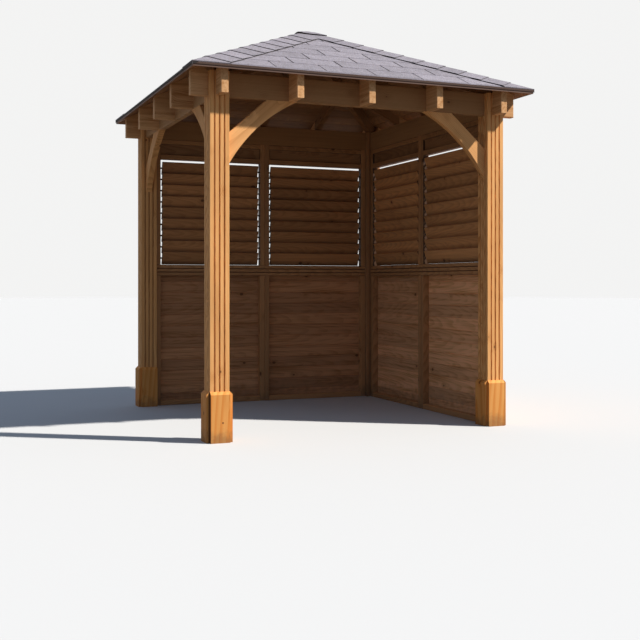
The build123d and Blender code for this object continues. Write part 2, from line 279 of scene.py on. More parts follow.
# A timber: the turns that bring its grain along X, the spacing of its boards, and the
# heart of the first of them, from which the rings and the other boards are counted
def timber(name, turns, spacing, first, splash=0.0, **looks):
    material, tree, shader = new_material(name)
    place = object_place(tree)
    wood = wood_of_boards(tree, turned_place(tree, place, turns), spacing, first, **looks)
    colour = wood["Color"]
    if splash:
        dirt = placed_group(tree, splashed_foot, {"Place": place, "Reach": splash})["Dirt"]
        dirty = mixed(tree, SPLASH_SHARE, wood["Color"], SPLASHED_DIRT)
        colour = mixed(tree, dirt, wood["Color"], dirty)
    finish_timber(tree, shader, colour, wood)
    return material


# Lays a tint over a timber, by a mask that follows the place on the piece
def stain(material, tint, mask_at):
    tree = material.node_tree
    colour = tree.nodes["Principled BSDF"].inputs["Base Color"]
    mask = mask_at(tree, object_place(tree))
    tree.links.new(mixed(tree, mask, colour.links[0].from_socket, tint), colour)


def dress(material, *names):
    for name in names:
        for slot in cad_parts[name].material_slots:
            slot.material = material


# A node's lowest and highest corners, to a tenth of a millimetre
def corners_of(name):
    return [[round(value, 4) for value in corner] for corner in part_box(name)]


post_low, post_high = corners_of("post_back_right")
POST_FACE = post_high[0]
POST_MIDDLE = (post_low[0] + post_high[0]) / 2


# How deep a point lies in a groove, which sets its share of painted shade
def painted_groove_shade(tree, place, share):
    from_middle = vector(tree, "SUBTRACT", vector(tree, "ABSOLUTE", place), (POST_MIDDLE, POST_MIDDLE, 0))
    out = axes(tree, vector(tree, "ABSOLUTE", from_middle))
    depth = number(tree, "SUBTRACT", POST_FACE - POST_MIDDLE, number(tree, "MAXIMUM", out[0], out[1]))
    return ramped(tree, depth, start=0.002, end=0.0075, most=share)


# Painted shade lies in the grooves, deeper on the posts that stand in shade
def make_post_timber(name, groove_shade_share, **looks):
    made = timber(
        name, GRAIN_UP, spacing=(UNDIVIDED, 2 * POST_MIDDLE, 2 * POST_MIDDLE),
        first=(0, POST_MIDDLE, POST_MIDDLE), splash=0.25, Knots=0.45, **looks,
    )
    stain(made, GROOVE_PAINTED_SHADE, lambda tree, place: painted_groove_shade(tree, place, groove_shade_share))
    return made


# The two front posts are painted paler for the sun on them, and the back right post darker as the shade it
# stands in
painted_sunlit_post_timber_front = make_post_timber(
    "post_timber", groove_shade_share=0.12, Variation=0.10, Figure=1.2,
    Pale=(0.83, 0.44, 0.165, 1), Dark=(0.50, 0.19, 0.045, 1),
)
painted_shade_post_timber_back_left = make_post_timber("painted_shade_post_timber_back_left", groove_shade_share=0.55, Variation=0.10)
painted_shade_post_timber_corner = make_post_timber(
    "painted_shade_post_timber_corner", groove_shade_share=0.55, Pale=(0.44, 0.22, 0.095, 1), Dark=(0.27, 0.12, 0.045, 1)
)
dress(painted_sunlit_post_timber_front, "post_front_left", "post_front_right")
dress(painted_shade_post_timber_back_left, "post_back_left")
dress(painted_shade_post_timber_corner, "post_back_right")

# The boards round the foot of each post: short wide boards with the top edge taken off
# at a slant, nailed on. Cut across a tree nearer its heart, so the figure is broad.
SKIRT_FACE = corners_of("skirt_back_right")[1][0]
SMALL_KNOT = (-0.9255, -SKIRT_FACE, 0.118)
KNOT_STAIN = (0.09, 0.03, 0.01, 1)
# Painted shade for the open corners of the boards round the feet
CORNER_PAINTED_SHADE = (0.05, 0.018, 0.007, 1)
# A spacing a little less than the side of a post gives each of its faces its own board
SPACES_BETWEEN_POSTS = 16
SKIRT_SPACING = 2 * POST_MIDDLE / SPACES_BETWEEN_POSTS
skirt_timber = timber(
    "skirt_timber", GRAIN_UP, spacing=(UNDIVIDED, SKIRT_SPACING, SKIRT_SPACING),
    first=(0, POST_MIDDLE, POST_MIDDLE), splash=0.09, Ring=0.034, Variation=0.10, Figure=1.1,
    Pale=(0.72, 0.325, 0.088, 1), Dark=(0.58, 0.17, 0.018, 1),
)


# Painted shade in the open corner between the boards on two faces of a post
def painted_shade_open_corner(tree, place):
    out = axes(tree, vector(tree, "ABSOLUTE", place))
    least_out = number(tree, "MINIMUM", out[0], out[1])
    past_faces = ramped(tree, least_out, start=POST_FACE - 0.0025, end=POST_FACE - 0.001)
    near_post = ramped(tree, out[0], start=POST_FACE + 0.012, end=POST_FACE + 0.004, most=0.85)
    return number(tree, "MULTIPLY", past_faces, near_post)


def on_small_knot(tree, place):
    away = shader_node(tree, "VectorMath", {0: place, 1: SMALL_KNOT}, operation="DISTANCE").outputs["Value"]
    return ramped(tree, away, start=0.0075, end=0.004, most=0.8)


stain(skirt_timber, CORNER_PAINTED_SHADE, painted_shade_open_corner)
stain(skirt_timber, KNOT_STAIN, on_small_knot)
dress(skirt_timber, "skirt_front_left", "skirt_front_right", "skirt_back_left", "skirt_back_right")

# The beams: four planed boards set on edge between the posts, with their tops level
# with the tops of the posts and the grain along each. Both pairs are painted darker as
# the shade under the eaves, and the two that run from front to back, which get more
# light, are painted a shade paler.
beam_pair = {"spacing": (UNDIVIDED, 2 * POST_MIDDLE, UNDIVIDED), "first": (0, POST_MIDDLE, 0)}
painted_shade_beam_across = timber(
    "painted_shade_beam_across", [], **beam_pair, Variation=0.08, Knots=0.6,
    Pale=(0.40, 0.205, 0.083, 1), Dark=(0.215, 0.095, 0.034, 1),
)
painted_shade_beam_deep = timber(
    "painted_shade_beam_deep", [(0, 0, -90)], **beam_pair, Variation=0.08, Knots=0.6,
    Pale=(0.46, 0.25, 0.11, 1), Dark=(0.26, 0.12, 0.045, 1),
)
dress(painted_shade_beam_across, "beam_front", "beam_back")
dress(painted_shade_beam_deep, "beam_left", "beam_right")

# The knee braces: each sawn to its curve from one wide board, which leans at nearly
# half a right angle between the post and the beam, so its grain does too.
BRACE_LEAN = 43.0
BRACE_HEART = (0.3, POST_MIDDLE, 1.9)
brace_leans = {
    "brace_front_at_left": [(0, BRACE_LEAN, 0)],
    "brace_front_at_right": [(0, 180 - BRACE_LEAN, 0)],
    "brace_left_at_front": [(0, 0, -90), (0, BRACE_LEAN, 0)],
    "brace_left_at_back": [(0, 0, -90), (0, 180 - BRACE_LEAN, 0)],
}
for name, turns in brace_leans.items():
    brace_timber = timber(
        name + "_timber", turns, spacing=(UNDIVIDED, UNDIVIDED, UNDIVIDED), first=BRACE_HEART,
        Pale=(0.78, 0.40, 0.15, 1), Ring=0.009, Variation=0.06,
    )
    dress(brace_timber, name)

# The rafter tails: short ends of planed timber on the posts and beams, cut off upright
# past the wall. The grain runs out from the wall, so each end shows its rings.
RAFTER_SPACING = POST_MIDDLE / 2
TAIL_HEART = (POST_FACE, 0, 2.15)


def make_tail_timber():
    material, tree, shader = new_material("tail_timber")
    place = object_place(tree)
    away = axes(tree, vector(tree, "ABSOLUTE", place))
    crosswise = number(tree, "GREATER_THAN", away[1], away[0])
    sideways = turned_place(tree, place, [(0, 0, -90)])
    # Sockets 0, 4 and 5 of a Mix node are its share and its two vectors
    along = shader_node(tree, "Mix", {0: crosswise, 4: place, 5: sideways}, data_type="VECTOR").outputs[1]
    wood = wood_of_boards(
        tree, along, spacing=(2 * POST_FACE, RAFTER_SPACING, UNDIVIDED), first=TAIL_HEART,
        Ring=0.006, Variation=0.16, Knots=0.5, Streaks=2.4,
        Pale=(0.63, 0.355, 0.165, 1), Dark=(0.36, 0.15, 0.04, 1),
    )
    finish_timber(tree, shader, wood["Color"], wood)
    return material


dress(make_tail_timber(), "rafter_tails")

# The rafters: a middle one and two jacks under each slope, of planed softwood, cut to
# the pitch of the roof. They stand in deep shade, and their timber is painted darker for it.
ROOF_PITCH = 25.0
RAFTER_HEART = (0, 0, 1.9)
TURN_TO_FRONT = {"front": 0, "left": 90, "back": 180, "right": -90}
# The timber under the roof, painted darker as the shade there
ROOF_PAINTED_SHADE_TONES = {"Pale": (0.30, 0.138, 0.053, 1), "Dark": (0.155, 0.062, 0.022, 1)}
for side, turn in TURN_TO_FRONT.items():
    rafter_timber = timber(
        "rafter_timber_" + side, [(0, 0, turn - 90), (0, ROOF_PITCH, 0)],
        spacing=(UNDIVIDED, RAFTER_SPACING, UNDIVIDED), first=RAFTER_HEART, Variation=0.15, **ROOF_PAINTED_SHADE_TONES,
    )
    dress(rafter_timber, "rafters_" + side)

# The hip rafters: four deeper timbers that run up from the corner posts and meet at
# the eight-sided block in the middle, which they hold with its grain upright
HIP_PITCH = math.degrees(math.atan(math.tan(math.radians(ROOF_PITCH)) / math.sqrt(2)))
HIP_HEART = (0, 0, 2.5)


def make_hip_timber():
    material, tree, shader = new_material("hip_timber")
    place = object_place(tree)
    quarter = vector(tree, "SIGN", place)
    along = turned_place(tree, vector(tree, "ABSOLUTE", place), [(0, 0, -45), (0, -HIP_PITCH, 0)])
    centred = vector(tree, "SUBTRACT", along, HIP_HEART)
    wood = placed_group(
        tree, planed_softwood, {"Place": centred, "Board": quarter, "Variation": 0.15, **ROOF_PAINTED_SHADE_TONES}
    )
    finish_timber(tree, shader, wood["Color"], wood)
    return material


dress(make_hip_timber(), "hip_rafters")
apex_block_timber = timber(
    "apex_block_timber", GRAIN_UP, spacing=(UNDIVIDED, UNDIVIDED, UNDIVIDED), first=(0, 0, 0),
    Ring=0.005, **ROOF_PAINTED_SHADE_TONES,
)
dress(apex_block_timber, "apex_block")

# The roof boarding: level boards with V joints, seen from below and at the eaves, where
# the outer edge of the lowest board has weathered grey
BOARD_COVER = 0.095
BOARD_THICKNESS = 0.019
BOARD_HEART = (0, -0.0681, 2.45)
BOARD_EDGE = corners_of("roof_boards_front")[1][0]
WEATHERED_GREY = (0.125, 0.082, 0.07, 1)


def at_the_eaves(tree, place):
    out = axes(tree, vector(tree, "ABSOLUTE", place))
    furthest_out = number(tree, "MAXIMUM", out[0], out[1])
    return ramped(tree, furthest_out, start=BOARD_EDGE - 0.008, end=BOARD_EDGE - 0.001, most=0.85)


for side, turn in TURN_TO_FRONT.items():
    boarding_timber = timber(
        "boarding_timber_" + side, [(0, 0, turn), (-ROOF_PITCH, 0, 0)],
        spacing=(UNDIVIDED, BOARD_COVER, UNDIVIDED), first=BOARD_HEART, Variation=0.35, **ROOF_PAINTED_SHADE_TONES,
    )
    stain(boarding_timber, WEATHERED_GREY, at_the_eaves)
    dress(boarding_timber, "roof_boards_" + side)

# The wall frames: stiles and rails of planed softwood, four stiles to a wall and the
# rails between them, the middle rail with two grooves along it
WALL_TURN = {"back": 0, "right": 90}
BAY = 0.9
GRAIN_LEVEL = (-90, 0, 0)
# The wall frames are painted darker than the posts, as the shade in the walls
FRAME_PAINTED_SHADE_TONES = {"Pale": (0.48, 0.24, 0.10, 1), "Dark": (0.27, 0.12, 0.045, 1)}
# Painted shade for the rail grooves and edges, the stile sides and the slat laps
PAINTED_FRAME_SHADE = (0.03, 0.013, 0.007, 1)
MIDDLE_RAIL_FOOT = 0.995
MIDDLE_RAIL_BAND = 0.028
MIDDLE_RAIL_TOP = MIDDLE_RAIL_FOOT + 3 * MIDDLE_RAIL_BAND
header_low, header_high = corners_of("back_wall_header_boards")
frame_top = corners_of("back_wall_rails")[1][2]
RAIL_HEIGHT = frame_top - header_high[2]
RAIL_SPACING = 0.14
RAIL_HEART = (BAY / 2, 0.05, -POST_MIDDLE)
RAIL_EDGES = (
    MIDDLE_RAIL_FOOT, MIDDLE_RAIL_FOOT + MIDDLE_RAIL_BAND,
    MIDDLE_RAIL_TOP - MIDDLE_RAIL_BAND, MIDDLE_RAIL_TOP,
    header_low[2] - RAIL_HEIGHT, header_low[2], header_high[2], frame_top,
)
bay_low, bay_high = corners_of("back_wall_louvres_1")
STILE_SIDES = (bay_low[0], bay_high[0])


# How far a height or a length is from the nearest of a few
def nearest_of(tree, measure, levels):
    nearest = UNDIVIDED
    for level in levels:
        away = number(tree, "ABSOLUTE", number(tree, "SUBTRACT", measure, level))
        nearest = number(tree, "MINIMUM", nearest, away)
    return nearest


# The two grooves of the middle rail, and the joints along it and the two top rails, darkened partly as dark
# joints and partly as painted shade
def painted_shade_rail_edges(tree, place):
    from_edge = nearest_of(tree, axes(tree, place)[2], RAIL_EDGES)
    return ramped(tree, from_edge, start=0.0045, end=0.0027, most=0.6)


# Painted shade on the sides of the stiles behind the ends of the slats
def painted_shade_by_slats(tree, place, turn):
    out = axes(tree, vector(tree, "ABSOLUTE", turned_place(tree, place, [(0, 0, turn)])))
    on_side = ramped(tree, nearest_of(tree, out[0], STILE_SIDES), start=0.0012, end=0.0006)
    above_rail = ramped(tree, out[2], start=MIDDLE_RAIL_TOP - 0.002, end=MIDDLE_RAIL_TOP, most=0.9)
    return number(tree, "MULTIPLY", on_side, above_rail)


for wall, turn in WALL_TURN.items():
    stile_timber = timber(
        wall + "_stile_timber", [(0, 0, turn), (0, 90, 0)], spacing=(UNDIVIDED, UNDIVIDED, BAY / 2),
        first=(0, POST_MIDDLE, BAY / 4), splash=0.12, Variation=0.22, **FRAME_PAINTED_SHADE_TONES,
    )
    stain(stile_timber, PAINTED_FRAME_SHADE, lambda tree, place: painted_shade_by_slats(tree, place, turn))
    dress(stile_timber, wall + "_wall_stiles")
    rail_timber = timber(
        wall + "_rail_timber", [(0, 0, turn), GRAIN_LEVEL], spacing=(BAY, RAIL_SPACING, UNDIVIDED),
        first=RAIL_HEART, Variation=0.18, **FRAME_PAINTED_SHADE_TONES,
    )
    stain(rail_timber, PAINTED_FRAME_SHADE, painted_shade_rail_edges)
    dress(rail_timber, wall + "_wall_rails")

# The cladding: level boards on the outside of the frames, and one board between the
# two top rails of each bay. Every board is its own tone, and the lowest are dirtier.
CLADDING_COVER = 0.0864
cladding_low, cladding_high = corners_of("back_wall_cladding")
CLADDING_MIDDLE = (cladding_low[1] + cladding_high[1]) / 2
# The back wall's cladding is painted darker as shade, and the right wall's paler as the light that reaches
# it
CLADDING_LIT_AND_SHADED_TONES = {
    "back": {"Pale": (0.53, 0.255, 0.118, 1), "Dark": (0.25, 0.095, 0.021, 1)},
    "right": {"Pale": (0.82, 0.43, 0.212, 1), "Dark": (0.41, 0.17, 0.04, 1)},
}
HEADER_HEART = (BAY / 2, 1.956, -POST_MIDDLE)
# The header boards are painted darker still, as the shade under the eaves
HEADER_PAINTED_SHADE_TONES = {"Pale": (0.34, 0.17, 0.074, 1), "Dark": (0.19, 0.085, 0.032, 1)}
for wall, turn in WALL_TURN.items():
    cladding_timber = timber(
        wall + "_cladding_timber", [(0, 0, turn), GRAIN_LEVEL], spacing=(BAY, CLADDING_COVER, UNDIVIDED),
        first=(BAY / 2, CLADDING_COVER / 2, -CLADDING_MIDDLE), splash=0.16,
        Ring=0.011, Variation=0.46, Figure=0.6, Streaks=2.2, **CLADDING_LIT_AND_SHADED_TONES[wall],
    )
    header_timber = timber(
        wall + "_header_timber", [(0, 0, turn), GRAIN_LEVEL], spacing=(BAY, UNDIVIDED, UNDIVIDED),
        first=HEADER_HEART, Ring=0.009, Variation=0.25, **HEADER_PAINTED_SHADE_TONES,
    )
    dress(cladding_timber, wall + "_wall_cladding")
    dress(header_timber, wall + "_wall_header_boards")

# The louvres: nine sloping slats to a bay, planed with their long edges taken off. Each
# sits on a dark steel pin at both ends, and the lower part of each slat, in the lap, is
# painted with shade.
SLAT_LEAN = 18.5
SLAT_PITCH = 0.086347
FIRST_SLAT = 1.1301
PIN_LENGTH = 0.0152
PIN_STEEL = (0.035, 0.032, 0.03, 1)
# The back wall's slats are painted darker as shade, and the right wall's paler as the light that reaches it
SLAT_LIT_AND_SHADED_TONES = {
    "back": {"Pale": (0.48, 0.225, 0.087, 1), "Dark": (0.22, 0.09, 0.032, 1)},
    "right": {"Pale": (0.63, 0.305, 0.12, 1), "Dark": (0.29, 0.127, 0.046, 1)},
}


def make_slat_timber(wall, turn):
    material, tree, shader = new_material(wall + "_slat_timber")
    facing = turned_place(tree, object_place(tree), [(0, 0, turn)])
    centred = vector(tree, "SUBTRACT", facing, (BAY / 2, POST_MIDDLE, FIRST_SLAT))
    leaning = turned_place(tree, centred, [(90 - SLAT_LEAN, 0, 0)])
    lean = math.radians(SLAT_LEAN)
    spacing = (BAY, UNDIVIDED, SLAT_PITCH * math.sin(lean))
    slats = placed_group(tree, board_by_board, {"Place": leaning, "Spacing": spacing})
    down = scaled(tree, axes(tree, slats["Board"])[2], by=SLAT_PITCH * math.cos(lean))
    on_slat = vector(tree, "ADD", slats["Place"], shader_node(tree, "CombineXYZ", {1: down}).outputs[0])
    looks = {"Ring": 0.008, "Variation": 0.42, "Figure": 0.6, **SLAT_LIT_AND_SHADED_TONES[wall]}
    wood = placed_group(tree, planed_softwood, {"Place": on_slat, "Board": slats["Board"], **looks})
    out = number(tree, "ABSOLUTE", axes(tree, facing)[0])
    inner_pin = number(tree, "LESS_THAN", out, STILE_SIDES[0] + PIN_LENGTH)
    outer_pin = number(tree, "GREATER_THAN", out, STILE_SIDES[1] - PIN_LENGTH)
    pin = number(tree, "MAXIMUM", inner_pin, outer_pin)
    lap_painted_shade = ramped(tree, axes(tree, on_slat)[1], start=-0.005, end=0.045, most=0.55)
    lap_shaded = mixed(tree, lap_painted_shade, wood["Color"], PAINTED_FRAME_SHADE)
    finish_timber(tree, shader, mixed(tree, pin, lap_shaded, PIN_STEEL), wood)
    tree.links.new(scaled(tree, pin, by=0.9), shader["Metallic"])
    return material


for wall, turn in WALL_TURN.items():
    dress(make_slat_timber(wall, turn), wall + "_wall_louvres_1", wall + "_wall_louvres_2")

# The shingles: felt strips cut into three tabs, laid in courses with half a tab's
# stagger. The face is pressed full of crushed slate, and the cut edges are black.
EAVE_OUT = corners_of("shingles_front")[1][0]
PITCH = math.radians(ROOF_PITCH)
SLOPE = math.tan(PITCH)
rafter_top = corners_of("rafter_tails")[1][2]
beam_outside = corners_of("beam_right")[1][0]
TOP_OF_BOARDS = rafter_top + SLOPE * (beam_outside - EAVE_OUT) + BOARD_THICKNESS / math.cos(PITCH)
LOWEST_BUTT = 0.024
EXPOSURE = 0.156
TUCKED_UNDER = 0.004
TAB_WIDTH = 0.3245
SLOT = 0.008
FIRST_SLOT = 0.542
TABS_EACH_WAY = 4
BUTT = 0.0078
HEAD = 0.0057
TAB_FELT = 0.0034
UNDER_TAB = 0.003
STARTER_UNDER_TAB = 0.002
STARTER_BACK = 0.0038
OFF_BOARDS = 0.0003
SOFT_EDGE = 0.0008
LARGEST_LIFT = 0.0035
LARGEST_SKEW = 0.002
NOSE_LENGTH = 2.03 * EAVE_OUT
NOSE_DROP = 0.006
NOSE_FELT = 0.004
NOSE_INSET = 0.0012
NOSE_BEND = 0.0022
DARK_SLATE = (0.085, 0.077, 0.09, 1)
PALE_SLATE = (0.31, 0.292, 0.345, 1)
BROWN_SLATE = (0.22, 0.16, 0.14, 1)
LOOKS_UP = 0.75
LOOKS_DOWN_SLOPE = -0.6
# Closer to a line or an edge than this is on it
ON_LINE = 0.001
laid = random.Random(7)


def select_where(mesh_object, test):
    bpy.ops.mesh.select_all(action="DESELECT")
    bpy.ops.object.mode_set(mode="OBJECT")
    for vertex in mesh_object.data.vertices:
        vertex.select = test(vertex.co)
    bpy.ops.object.mode_set(mode="EDIT")


def joined(pieces, name):
    bpy.ops.object.select_all(action="DESELECT")
    for piece in pieces:
        piece.select_set(True)
    bpy.context.view_layer.objects.active = pieces[0]
    bpy.ops.object.join()
    pieces[0].name = pieces[0].data.name = name
    return pieces[0]


def copied(piece, name, place):
    copy = piece.copy()
    copy.data = piece.data.copy()
    copy.name = copy.data.name = name
    copy.data.transform(place)
    bpy.context.scene.collection.objects.link(copy)
    return copy


def turned_copy(piece, name, angle):
    return copied(piece, name, Matrix.Rotation(math.radians(angle), 4, "Z"))


def cut_off(piece, *planes):
    bpy.ops.object.select_all(action="DESELECT")
    piece.select_set(True)
    bpy.context.view_layer.objects.active = piece
    bpy.ops.object.mode_set(mode="EDIT")
    for point, away in planes:
        bpy.ops.mesh.select_all(action="SELECT")
        bpy.ops.mesh.bisect(plane_co=point, plane_no=away, use_fill=True, clear_outer=True)
    bpy.ops.object.mode_set(mode="OBJECT")


def make_slate_face(name, light):
    material, tree, shader = new_material(name)
    place = object_place(tree)
    grains = cells(tree, place, scale=420.0)
    tint = axes(tree, grains["Color"])
    clump = axes(tree, cells(tree, place, scale=130.0)["Color"])[1]
    cloud = noise(tree, place, scale=14.0, detail=5.0)
    tab_tone = shader_node(tree, "Attribute", attribute_name="tone").outputs["Fac"]
    share = scaled(tree, clump, by=0.35, plus=scaled(tree, tint[0], by=0.65))
    crushed = mixed(tree, share, DARK_SLATE, PALE_SLATE)
    browned = mixed(tree, ramped(tree, tint[1], start=0.80, end=0.86, most=0.6), crushed, BROWN_SLATE)
    tone = scaled(tree, cloud, by=0.50, plus=scaled(tree, tab_tone, by=0.26, plus=light))
    tree.links.new(shaded(tree, browned, tone), shader["Base Color"])
    tree.links.new(scaled(tree, tint[2], by=0.2, plus=0.78), shader["Roughness"])
    roughen(tree, shader, grains["Distance"], strength=0.9, relief=0.0006)
    return material


def make_felt_edge(name, darkest, palest):
    material, tree, shader = new_material(name)
    fray = noise(tree, object_place(tree), scale=260.0, detail=4.0)
    tree.links.new(mixed(tree, fray, darkest, palest), shader["Base Color"])
    tree.links.new(scaled(tree, fray, by=0.3, plus=0.6), shader["Roughness"])
    shader["Specular IOR Level"].default_value = 0.12
    roughen(tree, shader, fray, strength=0.7, relief=0.0008)
    return material


slate_face = make_slate_face("slate_face", light=0.66)
# The butts get a paler slate, painted light against the shade on them
painted_light_butt_slate = make_slate_face("painted_light_butt_slate", light=0.85)
felt_edge = make_felt_edge("felt_edge", darkest=(0.012, 0.011, 0.011, 1), palest=(0.055, 0.045, 0.042, 1))
# The turned-down felt on the sunny sides, painted browner as lit
painted_sunlit_nose = make_felt_edge("painted_sunlit_nose", darkest=(0.035, 0.023, 0.019, 1), palest=(0.14, 0.085, 0.066, 1))


# The slate is on the faces that look up, and the butts, which look down the slope, have
# a paler slate of their own, painted light against the shade on them. The other cut edges and the underside
# are bare felt.
def give_felt_finish(piece, butt=felt_edge, slated=True):
    piece.data.attributes.new("tone", "FLOAT", "POINT")
    piece.data.materials.clear()
    for material in (slate_face, felt_edge, butt):
        piece.data.materials.append(material)
    for face in piece.data.polygons:
        if slated and face.normal.z > LOOKS_UP:
            face.material_index = 0
        elif face.normal.y < LOOKS_DOWN_SLOPE:
            face.material_index = 2
        else:
            face.material_index = 1


def toned(piece, tone):
    piece.data.attributes["tone"].data.foreach_set("value", [tone] * len(piece.data.vertices))
    return piece


# One flat layer of felt, thick at the butt and thinner where the next course starts
def make_layer(width, at_butt, at_head, foot):
    length = EXPOSURE + TUCKED_UNDER
    bpy.ops.object.select_all(action="DESELECT")
    bpy.ops.mesh.primitive_cube_add(size=1, location=(0, 0, 0))
    layer = bpy.context.object
    bpy.ops.object.mode_set(mode="EDIT")
    bpy.ops.transform.resize(value=(width, length, at_butt - foot))
    bpy.ops.transform.translate(value=(0, length / 2, (at_butt + foot) / 2))
    select_where(layer, lambda point: point.y > length / 2)
    bpy.ops.transform.translate(value=(0, 0, at_head - at_butt))
    bpy.ops.mesh.select_all(action="SELECT")
    bpy.ops.mesh.bevel(offset=SOFT_EDGE, segments=1, affect="EDGES")
    bpy.ops.object.mode_set(mode="OBJECT")
    return layer


# The nose: the first strip of felt, turned down over the edge of the boards
def make_nose():
    top = TOP_OF_BOARDS + BUTT
    bottom = TOP_OF_BOARDS - NOSE_DROP
    bpy.ops.object.select_all(action="DESELECT")
    bpy.ops.mesh.primitive_cube_add(size=1, location=(0, 0, 0))
    nose = bpy.context.object
    bpy.ops.object.mode_set(mode="EDIT")
    bpy.ops.transform.resize(value=(NOSE_LENGTH, NOSE_FELT, top - bottom))
    bpy.ops.transform.translate(value=(0, NOSE_FELT / 2 - EAVE_OUT + NOSE_INSET, (top + bottom) / 2))
    bpy.ops.mesh.subdivide(number_cuts=1)
    select_where(nose, lambda point: point.z > top - ON_LINE)
    bpy.ops.mesh.bevel(offset=NOSE_BEND, segments=2, affect="EDGES")
    bpy.ops.object.mode_set(mode="OBJECT")
    give_felt_finish(nose, butt=painted_sunlit_nose)
    return nose


tab = make_layer(TAB_WIDTH - SLOT, BUTT, HEAD, BUTT - TAB_FELT)
under_layer = make_layer(2 * EAVE_OUT, BUTT - UNDER_TAB, HEAD - UNDER_TAB, OFF_BOARDS)
starter = make_layer(2 * EAVE_OUT, BUTT - STARTER_UNDER_TAB, HEAD - STARTER_UNDER_TAB, OFF_BOARDS)
give_felt_finish(tab, butt=painted_light_butt_slate)
give_felt_finish(under_layer, butt=painted_light_butt_slate, slated=False)
give_felt_finish(starter, butt=painted_light_butt_slate)
slope_place = Matrix.Translation((0, -EAVE_OUT, TOP_OF_BOARDS)) @ Matrix.Rotation(PITCH, 4, "X")
starter_place = slope_place @ Matrix.Translation((0, STARTER_BACK, 0))
laid_felt = [toned(copied(starter, "starter_strip", starter_place), tone=0.6)]
for course in range(math.ceil((EAVE_OUT / math.cos(PITCH) - LOWEST_BUTT) / EXPOSURE)):
    course_place = slope_place @ Matrix.Translation((0, LOWEST_BUTT + course * EXPOSURE, 0))
    laid_felt.append(toned(copied(under_layer, f"under_{course}", course_place), tone=0.5))
    furthest = EAVE_OUT - course * EXPOSURE * math.cos(PITCH) + TAB_WIDTH
    stagger = TAB_WIDTH * (0.5 * (course % 2) + FIRST_SLOT)
    for step in range(-TABS_EACH_WAY, TABS_EACH_WAY + 1):
        across = step * TAB_WIDTH + stagger
        if abs(across) > furthest:
            continue
        lift = Matrix.Rotation(-laid.uniform(0.0, LARGEST_LIFT), 4, "X")
        skew = Matrix.Rotation(laid.uniform(-LARGEST_SKEW, LARGEST_SKEW), 4, "Z")
        place = course_place @ Matrix.Translation((across, 0, 0)) @ skew @ lift
        laid_felt.append(toned(copied(tab, f"tab_{course}_{step}", place), laid.random()))
for layer in (tab, under_layer, starter):
    bpy.data.objects.remove(layer)
laid_felt.append(make_nose())
# Each side of the roof ends at its two hips
for strip in laid_felt:
    cut_off(strip, ((0, 0, 0), (1, 1, 0)), ((0, 0, 0), (-1, 1, 0)))
slopes = {"front": joined(laid_felt, "shingle_courses_front")}
for side, angle in (("left", -90), ("back", 180), ("right", 90)):
    slopes[side] = turned_copy(slopes["front"], "shingle_courses_" + side, angle)
# On the sides away from the sun the turned-down felt takes the black edge finish, as painted shade
for side in ("left", "back"):
    for slot in slopes[side].material_slots:
        if slot.material == painted_sunlit_nose:
            slot.material = felt_edge
for side, piece in slopes.items():
    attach(piece, "root")
    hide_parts("shingles_" + side)

# The hip caps: pieces of the same felt, folded over each hip from the eaves upwards,
# each lapped over the one below it, with a soft crest where the felt bends
SHINGLE_BUILD = 0.008
CAP_WING = 0.158
LOWEST_CAP = 0.166
CAP_EXPOSURE = 0.155
CAP_LAP = 0.022
CAP_FELT = 0.0034
LAP_GAP = 0.0008
CAP_LIFT = CAP_FELT + LAP_GAP
CAP_BEND = 0.008
CAP_FALL = math.atan(SLOPE / math.sqrt(2 + SLOPE * SLOPE))
CAP_SKEW = 0.006
TOPMOST_STRETCH = 1.8
FLAP_WING = 0.036
FLAP_DROP = 0.024
FLAP_CREASE = 0.55
FLAP_FELT = 0.002
FLAP_INSET = 0.0014
FLAP_RISE = 0.004
EAVE_TRIM = 0.0002
HIP_JOINT = 0.001
RUN_TOP = 2.7195
CORNER_HEIGHT = TOP_OF_BOARDS + SHINGLE_BUILD / math.cos(PITCH)


def apply_modifier(piece, kind, **settings):
    made = piece.modifiers.new(kind, kind)
    for key, value in settings.items():
        setattr(made, key, value)
    bpy.ops.object.modifier_apply(modifier=kind)


def make_folded_cap():
    length = CAP_EXPOSURE + CAP_LAP
    bpy.ops.object.select_all(action="DESELECT")
    bpy.ops.mesh.primitive_grid_add(x_subdivisions=1, y_subdivisions=2, size=1, location=(0, 0, 0))
    cap = bpy.context.object
    bpy.ops.object.mode_set(mode="EDIT")
    bpy.ops.transform.resize(value=(length, 2 * CAP_WING / math.cos(CAP_FALL), 1))
    bpy.ops.transform.translate(value=(length / 2, 0, 0))
    select_where(cap, lambda point: point.y > ON_LINE)
    bpy.ops.transform.rotate(value=CAP_FALL, orient_axis="X", center_override=(0, 0, 0))
    select_where(cap, lambda point: point.y < -ON_LINE)
    bpy.ops.transform.rotate(value=-CAP_FALL, orient_axis="X", center_override=(0, 0, 0))
    select_where(cap, lambda point: abs(point.y) < ON_LINE)
    bpy.ops.mesh.bevel(offset=CAP_BEND, segments=3, affect="EDGES")
    bpy.ops.object.mode_set(mode="OBJECT")
    apply_modifier(cap, "SOLIDIFY", thickness=CAP_FELT, offset=1)
    give_felt_finish(cap)
    return cap


